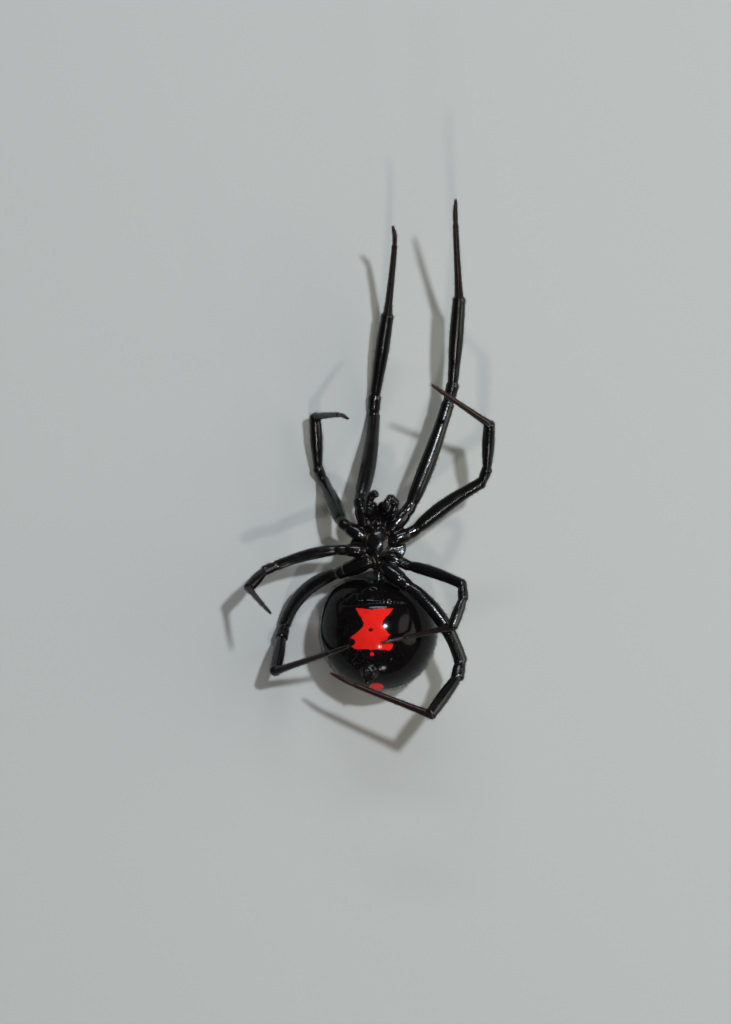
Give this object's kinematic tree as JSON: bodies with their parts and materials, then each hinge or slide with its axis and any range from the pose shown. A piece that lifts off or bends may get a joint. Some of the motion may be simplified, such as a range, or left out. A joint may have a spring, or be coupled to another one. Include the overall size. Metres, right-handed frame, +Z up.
{
  "type": "black widow spider",
  "caption": "Still life-size model of a female black widow spider lying on its back, with a globular abdomen, a red hourglass mark and long slender legs.",
  "frame": {"origin": "on the floor, in the middle of the small flat under the abdomen", "axes": "+Z up, which is the spider's belly side; +Y towards its head; +X to its left"},
  "size_m": [0.0161, 0.0332, 0.0114],
  "materials": {
    "shell": "smooth glossy black cuticle with very fine short hairs",
    "leg": "glossy black cuticle with rows of short bristles",
    "foot": "satin very dark red-brown cuticle, thinner than the rest of the leg",
    "red_mark": "bright red pigment under a glossy cuticle",
    "eye": "mirror-smooth dark lens",
    "spinneret": "dull brownish black, finely haired"
  },
  "bodies": {
    "root": {"abdomen": "shell", "prosoma": "shell", "pedicel": "shell", "hourglass_mark": "red_mark", "tail_spot": "red_mark", "spinnerets": "spinneret", "chelicera_left": "shell", "chelicera_right": "shell", "palp_left": "leg", "palp_right": "leg", "eye_front_left_side": "eye", "eye_front_left_middle": "eye", "eye_front_right_middle": "eye", "eye_front_right_side": "eye", "eye_rear_left_side": "eye", "eye_rear_left_middle": "eye", "eye_rear_right_middle": "eye", "eye_rear_right_side": "eye", "leg_left_1_coxa": "leg", "leg_left_1_femur": "leg", "leg_left_1_patella": "leg", "leg_left_1_tibia": "leg", "leg_left_1_metatarsus": "foot", "leg_left_2_coxa": "leg", "leg_left_2_femur": "leg", "leg_left_2_patella": "leg", "leg_left_2_tibia": "leg", "leg_left_2_metatarsus": "foot", "leg_left_3_coxa": "leg", "leg_left_3_femur": "leg", "leg_left_3_patella": "leg", "leg_left_3_tibia": "leg", "leg_left_3_metatarsus": "foot", "leg_left_4_coxa": "leg", "leg_left_4_femur": "leg", "leg_left_4_patella": "leg", "leg_left_4_tibia": "leg", "leg_left_4_metatarsus": "foot", "leg_right_1_coxa": "leg", "leg_right_1_femur": "leg", "leg_right_1_patella": "leg", "leg_right_1_tibia": "leg", "leg_right_1_metatarsus": "foot", "leg_right_2_coxa": "leg", "leg_right_2_femur": "leg", "leg_right_2_patella": "leg", "leg_right_2_tibia": "leg", "leg_right_2_metatarsus": "foot", "leg_right_3_coxa": "leg", "leg_right_3_femur": "leg", "leg_right_3_patella": "leg", "leg_right_3_tibia": "leg", "leg_right_3_metatarsus": "foot", "leg_right_4_coxa": "leg", "leg_right_4_femur": "leg", "leg_right_4_patella": "leg", "leg_right_4_tibia": "leg", "leg_right_4_metatarsus": "foot"}
  },
  "joints": []
}
